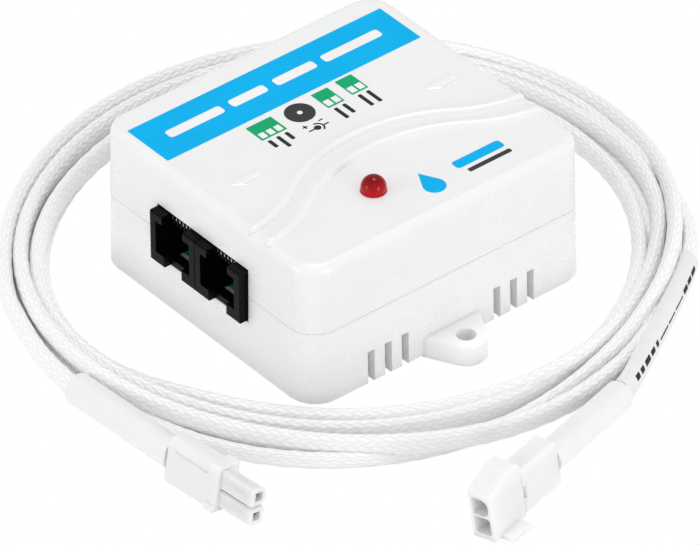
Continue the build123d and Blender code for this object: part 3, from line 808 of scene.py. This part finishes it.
    def build(self) -> int:
        """Print the lid.

        Returns:
            How many pieces it has.
        """
        self.plate("label_strip", self.strip.rounded(self.strip_corner), Finish.BLUE)
        for i, (start, end) in enumerate(self.label_words):
            word = Patch((start + end) / 2, self.label_line, end - start, self.label_height)
            self.bar(f"label_word_{i}", word, Finish.WHITE, 2)
        for icon in self.icons:
            self.terminal_icon(icon)
        self.plate("inlet_icon", disc(*self.inlet, self.inlet_radius), Finish.GREY)
        self.plate("inlet_icon_pin", disc(*self.inlet, self.inlet_pin_radius), Finish.WHITE, 2)
        self.polarity_sign()
        for name, x, y in self.arrow_places:
            self.arrow(name, x, y)
        self.plate("maker_drop", droplet(*self.drop), Finish.BLUE)
        self.bar("maker_bar", self.maker_bar, Finish.BLUE)
        self.bar("maker_line", self.maker_line, Finish.GREY)
        return len(self.made)


@dataclass(frozen=True)
class Knot:
    """One given place on the coil, in degrees and millimetres."""

    angle: float
    radius: float
    rise: float = 0.0
    lean: float = 0.0


@dataclass
class SensingCable:
    """The braided cord: plug end, coiled turns and socket end, on one smooth line.

    Where the cord rises, it moves along the line of sight, so that it keeps its place in the
    picture. The slack makes up for the smooth line running inside its control points.
    """

    width: float = 5.0
    thickness: float = 3.1
    strands: int = 14
    braid_pitch: float = 2.4
    yarn_depth: float = 0.10
    yarn_middle: float = 0.6
    clearance: float = 0.05
    sight: float = -129.0
    sight_shift: float = 1.32
    points_per_turn: int = 24
    slack: float = 1.0086
    span_points: int = 10
    rings: int = 3420
    sides: int = 28
    path_step: int = 4
    plug_tail: tuple[Point2, ...] = ((-65.7, -8.3), (-65.7, 2.0), (-64.4, 12.2), (-61.2, 22.0))
    plug_height: float = 2.6
    socket_tail: tuple[Point2, ...] = (
        (62.9, -13.8), (60.3, -26.1), (55.2, -38.5), (45.6, -47.6),
        (30.0, -57.6), (14.0, -67.4), (4.5, -70.5),
    )
    socket_height: float = 3.05
    knots: tuple[Knot, ...] = (
        Knot(152, 65.0, 1.6), Knot(130, 64.8, 2.6), Knot(110, 65.4, 2.6), Knot(90, 66.0, 2.4),
        Knot(60, 67.0, 1.6), Knot(40, 68.2, 1.0), Knot(25, 68.5, 0.6), Knot(10, 68.2, 0.7),
        Knot(0, 68.0, 1.0), Knot(-10, 67.6, 2.0), Knot(-20, 66.3, 3.0), Knot(-30, 64.5, 3.4),
        Knot(-40, 62.8, 3.0), Knot(-50, 61.1, 2.0), Knot(-60, 60.1, 0.9), Knot(-80, 60.0, 0.0, 10),
        Knot(-95, 61.0, 0.0, 40), Knot(-110, 62.4, 0.0, 50), Knot(-125, 63.6, 0.0, 45),
        Knot(-145, 64.4, 0.0, 35), Knot(-160, 63.2, 0.0, 70), Knot(-172, 61.9, 0.0, 90),
        Knot(-195, 61.4, 0.0, 90), Knot(-215, 62.6, 0.0, 90), Knot(-270, 63.6, 0.0, 90),
        Knot(-300, 63.6, 0.0, 60), Knot(-330, 62.6, 0.6, 20), Knot(-350, 62.3, 1.4),
        Knot(-360, 62.8, 2.0), Knot(-370, 63.3, 2.2), Knot(-380, 63.1, 2.0), Knot(-390, 61.5, 1.4),
        Knot(-400, 59.6, 0.6), Knot(-410, 58.3, 0.3), Knot(-420, 57.3, 0.4), Knot(-435, 55.9, 1.2),
        Knot(-450, 54.2, 1.4), Knot(-465, 52.9, 1.0), Knot(-480, 52.2, 0.3), Knot(-505, 52.1),
        Knot(-520, 53.2), Knot(-540, 56.4, 0.0, 40), Knot(-565, 58.8, 0.0, 75),
        Knot(-600, 58.2, 0.0, 80), Knot(-630, 58.0, 0.0, 60), Knot(-660, 57.9, 0.0, 20),
        Knot(-690, 57.8), Knot(-720, 57.7), Knot(-740, 57.6), Knot(-755, 56.9), Knot(-770, 56.4),
        Knot(-780, 56.1), Knot(-800, 56.3), Knot(-820, 56.3), Knot(-835, 55.9), Knot(-865, 55.7),
        Knot(-885, 56.4, 0.8), Knot(-900, 57.4, 1.8), Knot(-915, 58.4, 2.6), Knot(-930, 58.7, 2.6),
        Knot(-955, 57.8, 2.6), Knot(-975, 56.8, 2.2), Knot(-1000, 57.6, 1.2, 20),
        Knot(-1030, 59.4, 0.0, 60), Knot(-1060, 60.4, 0.0, 85), Knot(-1080, 60.5, 0.0, 90),
        Knot(-1100, 60.2, 0.0, 90), Knot(-1120, 60.9, 0.0, 85), Knot(-1140, 62.7, 0.0, 40),
        Knot(-1160, 63.6, 0.6), Knot(-1176, 63.0, 2.2, 10), Knot(-1190, 61.5, 2.8, 10),
        Knot(-1206, 59.9, 2.0), Knot(-1225, 58.8, 1.0), Knot(-1245, 58.9, 1.6),
        Knot(-1260, 59.5, 2.2), Knot(-1276, 60.5, 2.6), Knot(-1292, 61.6, 2.6),
        Knot(-1320, 61.8, 2.6), Knot(-1350, 62.4, 2.2), Knot(-1380, 63.2, 1.0),
        Knot(-1400, 64.2, 0.3), Knot(-1420, 64.9), Knot(-1432, 65.2),
    )

    def half_height(self, lean: float) -> float:
        """Half of the oval's height where it leans so many degrees from upright."""
        turn = radians(lean)
        return hypot(self.width / 2 * cos(turn), self.thickness / 2 * sin(turn))

    def eased(self, angle: float, values: Sequence[float]) -> float:
        """A value that glides from knot to knot.

        Args:
            angle: the angle along the coil.
            values: the value at each knot.

        Returns:
            The value at the angle.
        """
        angles = np.array([-knot.angle for knot in self.knots])
        slopes = np.gradient(np.array(values), angles)
        i = int(np.clip(np.searchsorted(angles, -angle) - 1, 0, len(angles) - 2))
        run = angles[i + 1] - angles[i]
        t = (-angle - angles[i]) / run
        from_first = (2 * t**3 - 3 * t**2 + 1) * values[i] + (t**3 - 2 * t**2 + t) * run * slopes[i]
        to_second = (-2 * t**3 + 3 * t**2) * values[i + 1] + (t**3 - t**2) * run * slopes[i + 1]
        return from_first + to_second

    def knot_at(self, angle: float) -> Knot:
        """The coil's place between its knots.

        Args:
            angle: the angle along the coil.

        Returns:
            The eased place.
        """
        return Knot(
            angle,
            self.eased(angle, [knot.radius for knot in self.knots]),
            max(0.0, self.eased(angle, [knot.rise for knot in self.knots])),
            min(90.0, max(0.0, self.eased(angle, [knot.lean for knot in self.knots]))),
        )

    def coil_point(self, knot: Knot) -> Vector:
        """Where a place of the coil lies.

        Args:
            knot: the place.

        Returns:
            The point, in millimetres.
        """
        turn, sight = radians(knot.angle), radians(self.sight)
        reach = knot.radius * self.slack
        shift = knot.rise * self.sight_shift
        return Vector((
            reach * cos(turn) + shift * cos(sight),
            reach * sin(turn) + shift * sin(sight),
            self.half_height(knot.lean) + self.clearance + knot.rise,
        ))

    def route(self) -> tuple[list[Vector], list[float]]:
        """The cord's control points and leans, from the plug to the socket.

        Returns:
            The points, in millimetres, and the leans, in degrees.
        """
        points = [Vector((x, y, self.plug_height)) for x, y in self.plug_tail]
        leans = [0.0] * len(points)
        first, last = self.knots[0].angle, self.knots[-1].angle
        steps = round((first - last) / 360 * self.points_per_turn)
        for i in range(steps + 1):
            knot = self.knot_at(first + (last - first) * i / steps)
            points.append(self.coil_point(knot))
            leans.append(knot.lean)
        points += [Vector((x, y, self.socket_height)) for x, y in self.socket_tail]
        leans += [0.0] * len(self.socket_tail)
        return points, leans

    def line(self, points: Sequence[Vector]) -> np.ndarray:
        """Points along the smooth line of the control points.

        Args:
            points: the control points, in millimetres.

        Returns:
            The line, in metres.
        """
        curve = bpy.data.curves.new("cable_line", "CURVE")
        curve.dimensions = "3D"
        spline = curve.splines.new("NURBS")
        spline.points.add(len(points) - 1)
        for place, point in zip(spline.points, points):
            place.co = (*(point * MM), 1.0)
        spline.order_u = 3
        spline.use_endpoint_u = True
        spline.resolution_u = self.span_points
        holder = bpy.data.objects.new("cable_line", curve)
        bpy.context.scene.collection.objects.link(holder)
        bpy.context.view_layer.update()
        mesh = bpy.data.meshes.new_from_object(holder)
        line = np.array([tuple(vertex.co) for vertex in mesh.vertices])
        bpy.data.objects.remove(holder)
        bpy.data.curves.remove(curve)
        bpy.data.meshes.remove(mesh)
        return line

    def stations(self) -> tuple[np.ndarray, np.ndarray, np.ndarray]:
        """Places along the cord, one for each ring of its skin.

        Returns:
            How far along each one is and where it lies, in metres, and its lean, in radians.
        """
        controls, leans = self.route()
        line = self.line(controls)
        runs = np.linalg.norm(np.diff(line, axis=0), axis=1)
        length = np.concatenate([[0.0], np.cumsum(runs)])
        stops = np.linspace(0.0, length[-1], self.rings)
        path = np.stack([np.interp(stops, length, line[:, axis]) for axis in range(3)], axis=1)
        share = np.interp(stops, length, np.linspace(0.0, len(controls) - 1.0, len(line)))
        return stops, path, np.radians(np.interp(share, np.arange(len(leans)), leans))

    def yarns(self, stops: np.ndarray) -> tuple[np.ndarray, np.ndarray]:
        """The yarns counted along the cord at each station, and round it at each side."""
        around = self.strands * np.arange(self.sides) / self.sides
        return stops / (self.braid_pitch * MM), around

    def skin(self, stops: np.ndarray, path: np.ndarray, lean: np.ndarray) -> np.ndarray:
        """Points of the braided oval round every station.

        Args:
            stops: how far along the stations are.
            path: where they lie.
            lean: their leans.

        Returns:
            The points, ring by ring.
        """
        tangent = np.gradient(path, axis=0)
        tangent /= np.linalg.norm(tangent, axis=1, keepdims=True)
        side = np.cross(tangent, np.array([0.0, 0.0, 1.0]))
        side /= np.linalg.norm(side, axis=1, keepdims=True)
        up = np.cross(side, tangent)
        level, tilt = np.cos(lean)[:, None], np.sin(lean)[:, None]
        wide, tall = side * level + up * tilt, up * level - side * tilt
        along, around = self.yarns(stops)
        right, left = around[None, :] + along[:, None], around[None, :] - along[:, None]
        yarn = np.abs(np.sin(pi * right / 2)) * np.abs(np.sin(pi * left / 2))
        grow = (yarn - self.yarn_middle) * (self.yarn_depth * MM)
        turn = 2 * pi * np.arange(self.sides) / self.sides
        across = (self.thickness / 2 * MM + grow) * np.cos(turn)
        upward = (self.width / 2 * MM + grow) * np.sin(turn)
        points = path[:, None] + wide[:, None] * across[..., None]
        return (points + tall[:, None] * upward[..., None]).reshape(-1, 3)

    def unwrap(self, cord: Piece, stops: np.ndarray, quads: int) -> None:
        """Write the counted yarns to the cord's corners, for its finish.

        Args:
            cord: the cord.
            stops: how far along the stations are.
            quads: how many four-sided faces it has, which come before its caps.
        """
        along, around = self.yarns(stops)
        corner = np.empty(len(cord.data.loops), dtype=np.int64)
        cord.data.loops.foreach_get("vertex_index", corner)
        ring, side = corner // self.sides, corner % self.sides
        strand = around[side]
        closing = np.zeros(len(corner), dtype=bool)
        closing[:quads * 4] = np.tile([False, True, True, False], quads)
        strand[closing & (side == 0)] = self.strands
        layer = cord.data.uv_layers.new(name="Braid")
        uv = np.stack([along[ring], strand], axis=1)
        layer.data.foreach_set("uv", uv.astype(np.float32).ravel())

    def build(self, ends: Sequence[Piece]) -> Piece:
        """Sweep the braided oval along the line.

        Args:
            ends: the pieces on the cord; not used.

        Returns:
            The cord.
        """
        stops, path, lean = self.stations()
        sides = self.sides
        ring = np.arange(self.rings - 1)[:, None] * sides
        i, j = np.arange(sides)[None, :], (np.arange(sides)[None, :] + 1) % sides
        quads = np.stack([ring + i, ring + j, ring + sides + j, ring + sides + i], axis=-1)
        walls = quads.reshape(-1, 4).tolist()
        last = (self.rings - 1) * sides
        caps = [list(reversed(range(sides))), list(range(last, last + sides))]
        skin = self.skin(stops, path, lean)
        cord = add_mesh("sensing_cable", skin, walls + caps, Finish.BRAID)
        self.unwrap(cord, stops, len(walls))
        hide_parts("cable_coil", "plug_tail", "socket_tail")
        self.width * MM
        LOG.info("cable length %.3f m", stops[-1])
        return cord


@dataclass
class CaseShells(SubAssembly):
    """The two white mouldings, their screws and the light screens behind the vents."""

    coats: Coats = (
        ("base_shell", Finish.BASE), ("top_cover", Finish.CASE),
        ("case_screws", Finish.STEEL),
    )
    screen_place: Point2 = (15.45, 30.0)
    screen_size: Point2 = (12.0, 0.6)
    screen_heights: Point2 = (2.1, 8.9)

    def build(self) -> list[Piece]:
        """Light screens that stand inside the front and rear walls, behind the vents.

        Returns:
            The pieces made.
        """
        x, y = self.screen_place
        made = []
        for wall, side_y in (("front", -1), ("rear", 1)):
            for side, side_x in (("left", -1), ("right", 1)):
                plan = Patch(side_x * x, side_y * y, *self.screen_size).corners()
                rings = [(plan, height) for height in self.screen_heights]
                made.append(add_stack(f"vent_screen_{wall}_{side}", rings, Finish.CASE))
        return made


@dataclass
class Lamp(SubAssembly):
    """The red lamp and its leads."""

    coats: Coats = (("led_lens", Finish.LAMP), ("led_leads", Finish.TIN))


@dataclass
class ModularJacks(SubAssembly):
    """The two black jacks and their spring contacts."""

    coats: Coats = (
        ("jack_1_housing", Finish.JACK), ("jack_2_housing", Finish.JACK),
        ("jack_1_contacts", Finish.GOLD), ("jack_2_contacts", Finish.GOLD),
    )


@dataclass
class BoardParts(SubAssembly):
    """The circuit board and what stands on it inside the case."""

    coats: Coats = (
        ("circuit_board", Finish.BOARD), ("relay_block", Finish.RELAY),
        ("microcontroller", Finish.CHIP), ("voltage_regulator", Finish.CHIP),
        ("flyback_diode", Finish.CHIP), ("filter_capacitor", Finish.CAN),
    )


@dataclass
class RearConnectors(SubAssembly):
    """The green terminals and the round supply jack in the back wall."""

    coats: Coats = (
        ("terminal_relay_housing", Finish.TERMINAL), ("terminal_supply_housing", Finish.TERMINAL),
        ("terminal_sensor_housing", Finish.TERMINAL), ("power_jack_housing", Finish.JACK),
        ("terminal_clamps", Finish.TIN), ("power_jack_pin", Finish.TIN),
        ("terminal_screws", Finish.STEEL),
    )


@dataclass(frozen=True)
class SleeveMark:
    """One printed mark on the marker sleeve: its place and sizes, in millimetres and degrees."""

    start: float
    length: float
    turn: float
    width: float


@dataclass
class CableEnds(SubAssembly):
    """The two connectors, their shrink boots and the printed marker sleeve."""

    coats: Coats = (
        ("plug_boot", Finish.SHRINK), ("socket_boot", Finish.SHRINK),
        ("marker_sleeve", Finish.SLEEVE), ("plug_housing", Finish.NYLON),
        ("socket_housing", Finish.NYLON), ("plug_contacts", Finish.TIN),
        ("socket_contacts", Finish.TIN),
    )
    near: Point2 = (47.4, -46.8)
    far: Point2 = (15.8, -66.6)
    bow: float = 0.6
    height: float = 3.05
    radius: float = 2.95
    film: float = 0.03
    columns: int = 8
    rows: int = 5
    marks: tuple[SleeveMark, ...] = (
        SleeveMark(1.0, 2.6, 32, 1.5), SleeveMark(4.2, 2.2, 32, 1.5), SleeveMark(7.0, 2.3, 31, 1.5),
        SleeveMark(10.2, 4.6, 27, 0.6), SleeveMark(15.4, 3.8, 27, 0.6),
        SleeveMark(19.8, 4.8, 28, 0.6), SleeveMark(25.6, 1.2, 34, 1.7),
        SleeveMark(27.8, 2.0, 36, 1.7), SleeveMark(30.6, 2.6, 38, 1.7),
        SleeveMark(34.2, 1.6, 40, 1.7), SleeveMark(36.6, 1.6, 42, 1.7),
    )

    def pieces(self) -> list[Piece]:
        """The solids at the cord's ends."""
        return [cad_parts[name] for name, _ in self.coats]

    def on_sleeve(self, place: float, turn: float) -> Vector:
        """A point of print on the sleeve.

        Args:
            place: how far it is from the sleeve's near end, in millimetres.
            turn: how far up round the sleeve's outer side it is, in radians.

        Returns:
            The point, a film above the sleeve, in metres.
        """
        start, end = Vector((*self.near, self.height)), Vector((*self.far, self.height))
        along = (end - start).normalized()
        out = Vector((-along.y, along.x, 0.0))
        share = place / (end - start).length
        middle = start + along * place + out * (self.bow * 4 * share * (1 - share))
        reach = out * cos(turn) + Vector((0.0, 0.0, sin(turn)))
        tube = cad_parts["marker_sleeve"]
        _, spot, normal, _ = tube.closest_point_on_mesh((middle + reach * self.radius) * MM)
        return spot + normal * (self.film * MM)

    def build(self) -> list[Piece]:
        """Print the marks on the sleeve's outer side.

        Returns:
            The marks.
        """
        wide = self.columns + 1
        faces = [
            (r * wide + c, r * wide + c + 1, (r + 1) * wide + c + 1, (r + 1) * wide + c)
            for r in range(self.rows)
            for c in range(self.columns)
        ]
        made = []
        for i, mark in enumerate(self.marks):
            places = [mark.start + mark.length * c / self.columns for c in range(wide)]
            shares = [r / self.rows - 0.5 for r in range(self.rows + 1)]
            turns = [radians(mark.turn) + mark.width / self.radius * share for share in shares]
            points = [self.on_sleeve(place, turn) for turn in turns for place in places]
            made.append(add_mesh(f"sleeve_mark_{i}", points, faces, Finish.BLACK))
        return made


@dataclass
class Relay:
    """The whole object, by its sub-assemblies."""

    case: CaseShells = field(default_factory=CaseShells)
    lid_print: LidPrint = field(default_factory=LidPrint)
    lamp: Lamp = field(default_factory=Lamp)
    jacks: ModularJacks = field(default_factory=ModularJacks)
    board: BoardParts = field(default_factory=BoardParts)
    rear: RearConnectors = field(default_factory=RearConnectors)
    ends: CableEnds = field(default_factory=CableEnds)
    cable: SensingCable = field(default_factory=SensingCable)

    def build(self) -> None:
        """Dress the solids and add the printed and braided pieces."""
        for part in (self.case, self.lamp, self.jacks, self.board, self.rear, self.ends):
            LOG.info("%s: %d solids dressed", type(part).__name__, part.dress())
        LOG.info("CaseShells: %d screens", len(self.case.build()))
        LOG.info("LidPrint: %d pieces", self.lid_print.build())
        marks = self.ends.build()
        LOG.info("CableEnds: %d marks", len(marks))
        self.cable.build(self.ends.pieces() + marks)


@dataclass(frozen=True)
class SoftLight:
    """A soft square light that looks at the object: its place and side in metres, and its watts."""

    name: str
    place: Point3
    size: float
    power: float

    def build(self) -> None:
        """Hang the light."""
        light = bpy.data.lights.new(self.name, "AREA")
        light.size = self.size
        light.energy = self.power
        holder = bpy.data.objects.new(self.name, light)
        holder.location = self.place
        holder.rotation_euler = Vector(self.place).to_track_quat("Z", "Y").to_euler()
        bpy.context.scene.collection.objects.link(holder)


@dataclass
class Studio:
    """Floor, light and camera, in metres; the camera by its place and its three axes."""

    eye: Point3 = (-1.00065, -1.24084, 1.20791)
    right: Point3 = (0.7740, -0.6331, -0.0081)
    up: Point3 = (0.3879, 0.4639, 0.7964)
    back: Point3 = (-0.5004, -0.6196, 0.6047)
    focal_px: float = 10422.41
    image_width: int = 700
    sensor: float = 36.0
    far_limit: float = 20.0
    floor_reach: float = 6.0
    floor_colour: Colour = (0.96, 0.96, 0.96)
    white: Colour = (1.0, 1.0, 1.0)
    sky: float = 0.64
    lights: tuple[SoftLight, ...] = (
        SoftLight("key", (0.35, 0.2, 1.5), 0.6, 7.5),
        SoftLight("front", (0.1, -1.45, 0.3), 0.6, 5.6),
        SoftLight("side", (-1.4, 0.35, 0.3), 0.6, 5.0),
        SoftLight("spark_left", (-1.0, -0.6, 1.1), 0.07, 0.4),
        SoftLight("spark_right", (-0.4, -1.1, 1.1), 0.07, 0.4),
    )

    def floor_material(self) -> bpy.types.Material:
        """Pale surface that the eye, and what mirrors or passes light, sees as plain white.

        Returns:
            The material.
        """
        graph = Graph("floor_white")
        path = graph.node("ShaderNodeLightPath", {}, {})
        rays = ("Is Camera Ray", "Is Glossy Ray", "Is Transmission Ray")
        camera, glossy, passed = (Signal(graph, path.outputs[ray]) for ray in rays)
        seen = graph.math("MAXIMUM", camera, graph.math("MAXIMUM", glossy, passed))
        graph.surface(base_color=self.floor_colour, roughness=0.9, specular_ior_level=0.0)
        glow = graph.node("ShaderNodeEmission", {}, {"Color": self.white, "Strength": 1.0})
        sockets = {0: seen, 1: graph.shader.outputs["BSDF"], 2: glow.outputs["Emission"]}
        mix = graph.node("ShaderNodeMixShader", {}, sockets)
        graph.link(mix.outputs["Shader"], graph.output.inputs["Surface"])
        return graph.material

    def floor(self) -> None:
        """Lay the floor."""
        side = 2 * self.floor_reach
        mesh = bpy.data.meshes.new("floor")
        corners = [(x, y, 0.0) for x, y in Patch(0.0, 0.0, side, side).corners()]
        mesh.from_pydata(corners, [], [(0, 1, 2, 3)])
        mesh.materials.append(self.floor_material())
        floor = bpy.data.objects.new("floor", mesh)
        bpy.context.scene.collection.objects.link(floor)

    def light(self) -> None:
        """Even white surroundings with soft lights."""
        world = bpy.data.worlds.new("studio")
        world.use_nodes = True
        background = world.node_tree.nodes["Background"]
        background.inputs["Color"].default_value = (*self.white, 1.0)
        background.inputs["Strength"].default_value = self.sky
        bpy.context.scene.world = world
        for light in self.lights:
            light.build()

    def camera(self) -> None:
        """The photograph's viewpoint."""
        data = bpy.data.cameras.new("camera")
        data.sensor_fit = "HORIZONTAL"
        data.sensor_width = self.sensor
        data.lens = self.focal_px * self.sensor / self.image_width
        data.clip_end = self.far_limit
        eye = bpy.data.objects.new("camera", data)
        columns = Matrix((self.right, self.up, self.back)).transposed().to_4x4()
        eye.matrix_world = Matrix.Translation(self.eye) @ columns
        bpy.context.scene.collection.objects.link(eye)
        bpy.context.scene.camera = eye

    def build(self) -> None:
        """Set up the studio."""
        self.floor()
        self.light()
        self.camera()
        bpy.context.scene.view_settings.view_transform = "Standard"


def main() -> None:
    """Build the object and the studio."""
    logging.basicConfig(level=logging.INFO, format="%(name)s: %(message)s")
    Relay().build()
    Studio().build()


if __name__ == "__main__":
    main()
